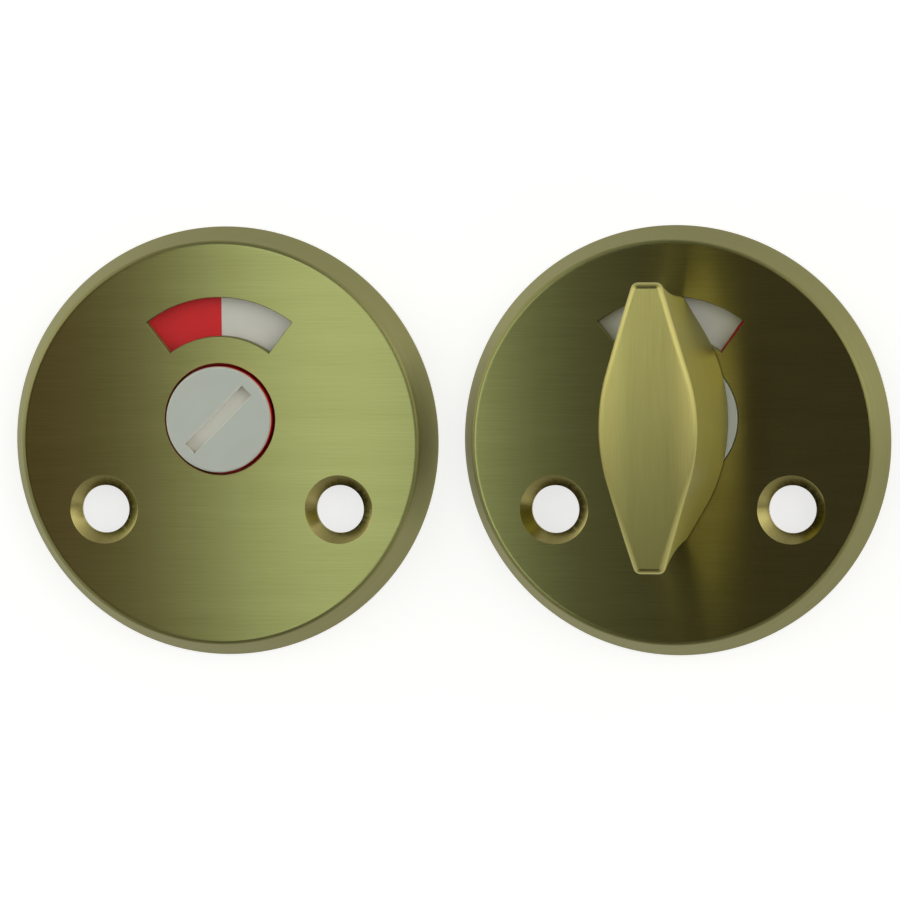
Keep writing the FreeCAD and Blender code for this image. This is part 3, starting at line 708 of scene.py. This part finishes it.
def grip_column(index, count):
    """The points of the grip from its foot, up the flank, over the edge and in to the spine."""
    bend, flank_top = rounded_edge(index, count)
    column = [flank_point(index, flank_top * row / FLANK_ROWS) for row in range(FLANK_ROWS)] + bend
    edge = column[-1].xy
    spine = Vector((0, max(-SPINE_HALF, min(SPINE_HALF, edge.y))))
    ridge = 1 - min(CROWN_RIDGE / max(abs(edge.x), 1e-6), 0.75)
    shares = [ridge * row / SHOULDER_ROWS for row in range(1, SHOULDER_ROWS + 1)]
    shares += [ridge + (1 - ridge) * row / RIDGE_ROWS for row in range(1, RIDGE_ROWS + 1)]
    for share in shares:
        spot = edge.lerp(spine, share)
        column.append(Vector((*spot, crown_height(*spot))))
    return column


def grip_mesh():
    """The grip as one closed skin with its grooves' map: they run round the flanks and the edge,
    and straight along the crown."""
    top = LEVELS[-1]
    count = len(top)
    columns = [grip_column(i, count) for i in range(count)]
    around = [0.0]
    for i in range(count):
        around.append(around[-1] + (top[(i + 1) % count] - top[i]).length)
    steps = [GRIP_HEIGHT / FLANK_ROWS] * FLANK_ROWS
    steps += [EDGE_SWEEP * GRIP_EDGE_ROUND / ROUND_ROWS] * ROUND_ROWS
    build = bmesh.new()
    layer = build.loops.layers.uv.new("grooves")
    rows = [[build.verts.new(column[row]) for column in columns] for row in range(len(columns[0]))]
    for row, (low, high) in enumerate(zip(rows, rows[1:])):
        for i in range(count):
            j = (i + 1) % count
            face = build.faces.new((low[i], low[j], high[j], high[i]))
            at = ((i, row), (i + 1, row), (i + 1, row + 1), (i, row + 1))
            for corner, (column, level) in zip(face.loops, at):
                if row < len(steps):
                    corner[layer].uv = around[column], sum(steps[:level])
                else:
                    corner[layer].uv = corner.vert.co.y, corner.vert.co.x
    for corner in build.faces.new(rows[0][::-1]).loops:
        corner[layer].uv = corner.vert.co.y, corner.vert.co.x
    bmesh.ops.remove_doubles(build, verts=build.verts, dist=0.002)
    bmesh.ops.recalc_face_normals(build, faces=build.faces)
    mesh = bpy.data.meshes.new("grip")
    build.to_mesh(mesh)
    build.free()
    return mesh


# %% Foot, shank and socket of the turn
JOURNAL_RADIUS, FOOT_RADIUS, RING_SEAT, FLATS_WIDTH = 5.6, 6.6, 5.05, 9.2
RING_BOTTOM, WEB_BOTTOM, RING_TOP = 1.75, 2.2, 4.9
SOCKET_WIDTH, SOCKET_DEPTH, SETBACK = 6.2, 12.0, 0.1
JOURNAL_CHAMFER = 0.25


def shank_ring(height):
    """The round shank with its two flats, as one ring."""
    half = FLATS_WIDTH / 2
    return [(x, max(-half, min(half, y)), height) for x, y, _ in circle(JOURNAL_RADIUS, height)]


def turn_mesh():
    """Grip, foot, flatted shank, ring groove and journal as one casting, with the square socket."""
    stem = [circle(JOURNAL_RADIUS - JOURNAL_CHAMFER, SETBACK),
            circle(JOURNAL_RADIUS, SETBACK + JOURNAL_CHAMFER),
            circle(JOURNAL_RADIUS, RING_BOTTOM), circle(RING_SEAT, RING_BOTTOM),
            circle(RING_SEAT, WEB_BOTTOM), shank_ring(WEB_BOTTOM), shank_ring(RING_TOP),
            circle(FOOT_RADIUS, RING_TOP), circle(FOOT_RADIUS, GRIP_FOOT + 0.5)]
    socket = skin(bar_rings(SOCKET_WIDTH, SOCKET_WIDTH, [(-1, 0), (SETBACK + SOCKET_DEPTH, 0)]))
    casting = carved(grip_mesh(), [skin(stem)], "UNION")
    return carved(casting, [socket])


# %% [markdown]
# The crown is brushed along its length and the flanks are brushed round, which leaves them duller.
# The flanks' brass is also written darker than the crown's, as painted shade on the sides. The
# marks are finer than on the roses and their smear is wider, because a soft belt wraps round a
# curved casting.

# %% Thumb turn
TURN_FINISHES = [brushed_grip, turned_rim, brushed_flank]
CROWN, SHANK, FLANK = range(3)             # places in that list
FACES_UP = 0.3                             # the least rise of a normal that belongs to the crown


def turn_region(face):
    """Finish of a face of the turn: brushed crown and flanks, and a turned foot and shank."""
    if face.center.z < GRIP_FOOT - HAIR:
        return SHANK, (0.0, 0.0)
    return CROWN if face.normal.z > FACES_UP else FLANK, MAPPED


mesh = turn_mesh()
grooves(mesh, turn_region)
place("thumb_turn_casting", mesh, TURN, "thumb_turn", "thumb_turn", TURN_FINISHES)

# %% [markdown]
# ## The slotted button
# The white button is a turned disc with a plug under it, which sits in the red hub. A bar with a
# flared top cuts the coin slot. The faces inside the slot get a warmer plastic that is painted
# lighter, with painted shade at its ends.

# %% Button with its coin slot
HUB_RADIUS, PLUG_RADIUS = 6.65, 5.5
PLUG_BOTTOM, HUB_TOP, CAP_TOP, CAP_ROUND = 5.1, 5.7, 6.4, 0.3
# A face belongs to the slot if it lies this near to it, and this far under the button's top. The
# long broken edges have most of their points on the top, so their middles are only just under it.
SLACK, UNDER = 0.1, 0.001


def button_mesh():
    """The button about its axis, with its slot."""
    shoulder = arc((HUB_RADIUS - CAP_ROUND, CAP_TOP - CAP_ROUND), CAP_ROUND, 0, 90, 6)
    plug = [(PLUG_RADIUS, PLUG_BOTTOM), (PLUG_RADIUS, HUB_TOP), (HUB_RADIUS, HUB_TOP)]
    disc = skin(turned_rings(plug + shoulder + [(CAP_ROUND, CAP_TOP)], count=128))
    slot = skin(bar_rings(SLOT_LENGTH, SLOT_WIDTH, broken_edge(CAP_TOP - SLOT_DEPTH, CAP_TOP)))
    slot.transform(Matrix.Rotation(math.radians(SLOT_DEG), 4, "Z"))
    return carved(disc, [slot])


def in_the_slot(face):
    """Whether a face lies inside the coin slot."""
    turned = Matrix.Rotation(math.radians(-SLOT_DEG), 3, "Z") @ face.center
    below_top = PLUG_BOTTOM + SLACK < face.center.z < CAP_TOP - UNDER
    along, across = SLOT_LENGTH / 2 + SLACK, SLOT_WIDTH / 2 + SLACK
    return below_top and abs(turned.x) < along and abs(turned.y) < across


mesh = button_mesh()
for face in mesh.polygons:
    face.material_index = 1 if in_the_slot(face) else 0
place("coin_slot_button", mesh, RELEASE, "release_hub", "release_slot_cap",
      [white_button, slot_lit_and_shaded])

# %% [markdown]
# ## Discs, inserts, bushes and plates
# The CAD already has the right shape for these, so a merged copy is enough, and a bevel modifier
# breaks its edges, as the radius in a mould or the burr on a pressing does.

# %% Pieces from the CAD
FROM_CAD = [               # node, half, body, finish and bevel in mm
    ("release_indicator_disc", RELEASE, "release_hub", red_plastic, 0.08),
    ("release_white_sector", RELEASE, "release_hub", white_insert, 0.03),
    ("release_spindle_follower", RELEASE, "release_hub", zinc_casting, 0.08),
    ("release_bearing_bush", RELEASE, "roses", nylon, 0.05),
    ("turn_indicator_disc", TURN, "thumb_turn", red_plastic, 0.08),
    ("turn_white_sector", TURN, "thumb_turn", white_insert, 0.03),
    ("turn_hub_ring", TURN, "thumb_turn", white_button, 0.06),
    ("turn_retaining_ring", TURN, "thumb_turn", spring_steel, 0.04),
    ("turn_thrust_washer", TURN, "thumb_turn", plated_steel, 0.03),
    ("turn_bearing_bush", TURN, "roses", nylon, 0.05),
    ("release_back_plate", RELEASE, "roses", plated_steel, 0.08),
    ("turn_back_plate", TURN, "roses", plated_steel, 0.08),
]
for node, half, body, finish, bevel in FROM_CAD:
    place(node + "_finished", merged_copy(node, half), half, body, node, [finish], bevel)

# %% [markdown]
# ## Plate screws and wave washers
# Three equal screws hold each back plate. Geometry Nodes put one screw on each of three points,
# and the result becomes one plain mesh. A wave washer follows a rule, so its tree makes a grid,
# bends it into a ring and lifts each point by a cosine of its angle.

# %% A tree for each
def finish_tree(tree, geometry, material):
    """Close a tree: real geometry with its material."""
    real = add_node(tree, "GeometryNodeRealizeInstances", {"Geometry": geometry})
    painted = add_node(tree, "GeometryNodeSetMaterial", {
        "Geometry": real.outputs["Geometry"], "Material": material})
    add_node(tree, "NodeGroupOutput", {"Geometry": painted.outputs["Geometry"]})


def new_tree(name, sizes):
    """A geometry tree with named inputs."""
    tree = bpy.data.node_groups.new(name, "GeometryNodeTree")
    tree.interface.new_socket("Geometry", in_out="INPUT", socket_type="NodeSocketGeometry")
    for label, value in sizes.items():
        socket = tree.interface.new_socket(label, in_out="INPUT", socket_type="NodeSocketFloat")
        socket.default_value = value
    tree.interface.new_socket("Geometry", in_out="OUTPUT", socket_type="NodeSocketGeometry")
    return tree, add_node(tree, "NodeGroupInput")


def made_by(tree, mesh, sizes):
    """The plain mesh that a tree makes from a mesh with these sizes."""
    carrier = bpy.data.objects.new("carrier", mesh)
    bpy.context.scene.collection.objects.link(carrier)
    run = carrier.modifiers.new("run", "NODES")
    run.node_group = tree
    for item in tree.interface.items_tree:
        if item.in_out == "INPUT" and item.name in sizes:
            run[item.identifier] = sizes[item.name]
    graph = bpy.context.evaluated_depsgraph_get()
    result = bpy.data.meshes.new_from_object(carrier.evaluated_get(graph))
    bpy.data.objects.remove(carrier)
    return result


# %% Wave washer
WAVE_SIZES = {"Inner": 5.95, "Outer": 7.3, "Sheet": 0.15, "Middle": 1.3, "Swing": 0.105,
              "Waves": 3.0}
WAVE_GRID = {"Vertices X": 145, "Vertices Y": 5}   # round the washer and across it
WELD = 0.001               # mm within which points are made one


def wave_washer_tree():
    """A flat grid bent into a ring that rises and falls as it goes round."""
    tree, given = new_tree("wave washer", WAVE_SIZES)
    grid = add_node(tree, "GeometryNodeMeshGrid", {"Size X": 1.0, "Size Y": 1.0, **WAVE_GRID})
    place_of = add_node(tree, "GeometryNodeInputPosition")
    spot = add_node(tree, "ShaderNodeSeparateXYZ", {"Vector": place_of.outputs[0]})

    def calc(operation, first, second=0.0, third=0.0):
        return add_node(tree, "ShaderNodeMath", {0: first, 1: second, 2: third},
                        operation=operation).outputs[0]

    angle = calc("MULTIPLY", calc("ADD", spot.outputs["X"], 0.5), 2 * math.pi)
    width = calc("SUBTRACT", given.outputs["Outer"], given.outputs["Inner"])
    radius = calc("MULTIPLY_ADD", calc("ADD", spot.outputs["Y"], 0.5), width,
                  given.outputs["Inner"])
    wave = calc("COSINE", calc("MULTIPLY", angle, given.outputs["Waves"]))
    height = calc("MULTIPLY_ADD", wave, given.outputs["Swing"], given.outputs["Middle"])
    level = calc("MULTIPLY_ADD", given.outputs["Sheet"], -0.5, height)
    there = add_node(tree, "ShaderNodeCombineXYZ", {
        "X": calc("MULTIPLY", radius, calc("COSINE", angle)),
        "Y": calc("MULTIPLY", radius, calc("SINE", angle)), "Z": level})
    bent = add_node(tree, "GeometryNodeSetPosition", {
        "Geometry": grid.outputs["Mesh"], "Position": there.outputs["Vector"]})
    closed = add_node(tree, "GeometryNodeMergeByDistance", {
        "Geometry": bent.outputs["Geometry"], "Distance": WELD})
    thick = add_node(tree, "GeometryNodeExtrudeMesh", {
        "Mesh": closed.outputs["Geometry"], "Offset": (0, 0, 1.0),
        "Offset Scale": given.outputs["Sheet"], "Individual": False})
    flipped = add_node(tree, "GeometryNodeFlipFaces", {"Mesh": closed.outputs["Geometry"]})
    whole = add_node(tree, "GeometryNodeJoinGeometry")
    tree.links.new(thick.outputs["Mesh"], whole.inputs["Geometry"])
    tree.links.new(flipped.outputs["Mesh"], whole.inputs["Geometry"])
    sealed = add_node(tree, "GeometryNodeMergeByDistance", {
        "Geometry": whole.outputs["Geometry"], "Distance": WELD})
    finish_tree(tree, sealed.outputs["Geometry"], spring_steel)
    return tree


washer = wave_washer_tree()
for half, name in HALVES:
    mesh = made_by(washer, bpy.data.meshes.new("start"), WAVE_SIZES)
    place(name + "_wave_washer_sprung", mesh, half, "roses", name + "_wave_washer", [])


# %% Plate screws
# Radius and height of the screw from its head up, and its driver slot
SCREW_PROFILE = [(1.62, 0), (1.7, 0.05), (0.9, 0.6), (0.9, 2.35), (0.75, 2.5)]
DRIVER_LENGTH, DRIVER_WIDTH, DRIVER_DEPTH = 4.4, 0.4, 0.3


def screw_mesh():
    """One countersunk screw with its driver slot, head down."""
    slot = skin(bar_rings(DRIVER_LENGTH, DRIVER_WIDTH, [(-1, 0), (DRIVER_DEPTH, 0)]))
    return carved(skin(turned_rings(SCREW_PROFILE, count=48)), [slot])


def screws_tree(screw):
    """One screw on every point of the mesh that it is given."""
    tree, given = new_tree("plate screws", {"Scale": 1.0})
    shape = add_node(tree, "GeometryNodeObjectInfo", {"Object": screw})
    spread = add_node(tree, "GeometryNodeInstanceOnPoints", {
        "Points": given.outputs["Geometry"], "Instance": shape.outputs["Geometry"],
        "Scale": given.outputs["Scale"]})
    finish_tree(tree, spread.outputs["Instances"], plated_steel)
    return tree


screw = bpy.data.objects.new("screw", screw_mesh())
bpy.context.scene.collection.objects.link(screw)
spread_screws = screws_tree(screw)
for half, name in HALVES:
    points = bpy.data.meshes.new("posts")
    points.from_pydata([(x, y, 0) for x, y in POSTS], [], [])
    mesh = made_by(spread_screws, points, {"Scale": 1.0})
    place(name + "_plate_screws_set", mesh, half, "roses", name + "_plate_screws", [], 0.03)
bpy.data.objects.remove(screw)

# %% [markdown]
# ## Table
# The set lies on a plain white table. A part of the white is added only where the camera, a metal
# or a glass looks, so the table is white there too, while the object's shadow stays on it. It
# lies a hair below the set and is clear from below, so the backs can be looked at.

# %% Floor
TABLE_HALF, TABLE_DROP = 3.0, 0.05         # metres each way, and millimetres below the set
TABLE_LIFT = 0.72                          # the white that is added
floor_mesh = bpy.data.meshes.new("floor")
corners = [(-1, -1), (1, -1), (1, 1), (-1, 1)]
floor_mesh.from_pydata([(x * TABLE_HALF, y * TABLE_HALF, -TABLE_DROP * MM) for x, y in corners],
                       [], [(0, 1, 2, 3)])
floor = bpy.data.objects.new("floor", floor_mesh)
bpy.context.scene.collection.objects.link(floor)
white_table, tree, shader = new_material("table, white laminate")
tree.nodes.remove(shader)
path = add_node(tree, "ShaderNodeLightPath")
direct = add_node(tree, "ShaderNodeMath", {
    0: path.outputs["Is Camera Ray"], 1: path.outputs["Is Glossy Ray"]}, operation="MAXIMUM")
seen = add_node(tree, "ShaderNodeMath", {
    0: direct.outputs[0], 1: path.outputs["Is Transmission Ray"]}, operation="MAXIMUM")
strength = add_node(tree, "ShaderNodeMath", {0: seen.outputs[0], 1: TABLE_LIFT},
                    operation="MULTIPLY")
matt = add_node(tree, "ShaderNodeBsdfDiffuse", {"Color": linear("#B2B2B0")})
lift = add_node(tree, "ShaderNodeEmission", {
    "Color": (1, 1, 1, 1), "Strength": strength.outputs[0]})
both = add_node(tree, "ShaderNodeAddShader", {0: matt.outputs[0], 1: lift.outputs[0]})
face_of = add_node(tree, "ShaderNodeNewGeometry")
clear = add_node(tree, "ShaderNodeBsdfTransparent")
sides = add_node(tree, "ShaderNodeMixShader", {
    0: face_of.outputs["Backfacing"], 1: both.outputs[0], 2: clear.outputs[0]})
tree.links.new(sides.outputs[0], tree.nodes["Material Output"].inputs["Surface"])
floor_mesh.materials.append(white_table)

# %% [markdown]
# ## Light
# Shiny things are photographed in a tent of white cloth with a slit for the camera. The tent
# lights the plastics evenly. The flat brass mirrors the slit, so it would be dark all over, as
# the right rose is in the photograph. A long panel hangs beside the camera, and the left rose
# mirrors it. A dim and warm one hangs further out, and colours that rose's far side. The world is
# the tent: its light depends only on the direction. Across the slit it is dark and warm, and low
# down, where the cloth closes again, it is as bright as at the sides.

# %% Tent
# Places are on a unit sphere about the set
CLOTH, OPENING = 1.65, 0.05                # how bright they are; 1 is white
SLIT_MIDDLE, SLIT_HALF, SLIT_SOFT = -0.13, 0.32, 0.08
SLIT_LOW, SLIT_HIGH = 0.35, 0.6            # heights between which the slit opens
# Along Y the cloth is lit unevenly: where, and what share of the light
ALONG = ((-1.0, 0.25), (-0.6, 0.4), (-0.4, 0.55), (-0.24, 0.24), (-0.16, 0.28), (0.05, 1.0),
         (0.3, 1.1), (0.65, 0.55), (1.0, 0.3))
world = bpy.data.worlds.new("white tent")
bpy.context.scene.world = world
world.use_nodes = True
tree = world.node_tree
toward = add_node(tree, "ShaderNodeTexCoord")
axes = add_node(tree, "ShaderNodeSeparateXYZ", {"Vector": toward.outputs["Generated"]})
offset = add_node(tree, "ShaderNodeMath", {0: axes.outputs["X"], 1: SLIT_MIDDLE},
                  operation="SUBTRACT")
sideways = add_node(tree, "ShaderNodeMath", {0: offset.outputs[0]}, operation="ABSOLUTE")
inside = add_node(tree, "ShaderNodeMapRange", {
    "Value": sideways.outputs[0], "From Min": SLIT_HALF - SLIT_SOFT,
    "From Max": SLIT_HALF + SLIT_SOFT, "To Min": 1.0, "To Max": 0.0},
    interpolation_type="SMOOTHSTEP")
overhead = add_node(tree, "ShaderNodeMapRange", {
    "Value": axes.outputs["Z"], "From Min": SLIT_LOW, "From Max": SLIT_HIGH},
    interpolation_type="SMOOTHSTEP")
slit = add_node(tree, "ShaderNodeMath", {0: inside.outputs[0], 1: overhead.outputs[0]},
                operation="MULTIPLY")
glow = add_node(tree, "ShaderNodeMapRange", {
    "Value": slit.outputs[0], "To Min": CLOTH, "To Max": OPENING})
lengthways = add_node(tree, "ShaderNodeMapRange", {"Value": axes.outputs["Y"], "From Min": -1.0})
folds = add_node(tree, "ShaderNodeValToRGB", {"Fac": lengthways.outputs["Result"]})
for _ in ALONG[2:]:
    folds.color_ramp.elements.new(0.5)
for stop, (where, share) in zip(folds.color_ramp.elements, ALONG):
    stop.position, stop.color = (where + 1) / 2, (share, share, share, 1.0)
dimmed = add_node(tree, "ShaderNodeMath", {0: glow.outputs[0], 1: folds.outputs["Color"]},
                  operation="MULTIPLY")
room = tree.nodes["Background"]
tree.links.new(blend(tree, slit.outputs[0], "#FFFDF8", "#FFF2D6"), room.inputs["Color"])
tree.links.new(dimmed.outputs[0], room.inputs["Strength"])
path = add_node(tree, "ShaderNodeLightPath")
backdrop = add_node(tree, "ShaderNodeBackground", {"Color": (1, 1, 1, 1), "Strength": 1.0})
choose = add_node(tree, "ShaderNodeMixShader", {
    0: path.outputs["Is Camera Ray"], 1: room.outputs[0], 2: backdrop.outputs[0]})
tree.links.new(choose.outputs[0], tree.nodes["World Output"].inputs["Surface"])

# %% Panels beside the camera
# Where a panel's middle is and its two sizes in metres, its turn in degrees, its watts, its colour
PANELS = {"daylight panel": ((-0.067, 0.064, 0.285), (0.042, 0.33), 3, 0.0605, "#E6FFFF"),
          "warm panel": ((-0.108, 0.0, 0.285), (0.055, 0.24), 0, 0.0024, "#FF9A50")}
for name, (place_at, size, turned, watts, colour) in PANELS.items():
    lamp = bpy.data.lights.new(name, "AREA")
    lamp.shape, lamp.size, lamp.size_y = "ELLIPSE", size[0], size[1]
    lamp.energy, lamp.color = watts, linear(colour)[:3]
    panel = bpy.data.objects.new(name, lamp)
    panel.location, panel.rotation_euler.z = place_at, math.radians(turned)
    panel.visible_camera = False
    bpy.context.scene.collection.objects.link(panel)
    print(name, "brightness:", round(watts / (math.pi * math.pi / 4 * size[0] * size[1]), 2))

# %% [markdown]
# ## Camera
# The camera stands 1.6 m away with a long lens, a little to the right of straight above, which is
# why the thumb turn's right flank shows. The picture's sides stay level with the row of the two
# roses.

# %% Camera
LEAN_X, LEAN_Y = math.radians(9.73), math.radians(3.68)
DISTANCE, PICTURE = 1.6, 0.11276           # metres to the set, and metres that the picture spans
SENSOR = 36.0                              # mm
aim = Vector((0.00058, -0.0009, 0.005))
back = Vector((math.sin(LEAN_X), math.sin(LEAN_Y), 0))
back.z = math.sqrt(1 - back.length_squared)
side = (Vector((1, 0, 0)) - back * back.x).normalized()
up = back.cross(side)
camera_data = bpy.data.cameras.new("camera")
camera_data.sensor_width = SENSOR
camera_data.lens = SENSOR * DISTANCE / PICTURE
camera_data.clip_start, camera_data.clip_end = 0.1, 20.0
camera = bpy.data.objects.new("camera", camera_data)
bpy.context.scene.collection.objects.link(camera)
bpy.context.scene.camera = camera
turned = Matrix((side, up, back)).transposed().to_4x4()
camera.matrix_world = Matrix.Translation(aim + back * DISTANCE) @ turned
bpy.context.scene.view_settings.view_transform = "Standard"
print("lens:", round(camera_data.lens), "mm")
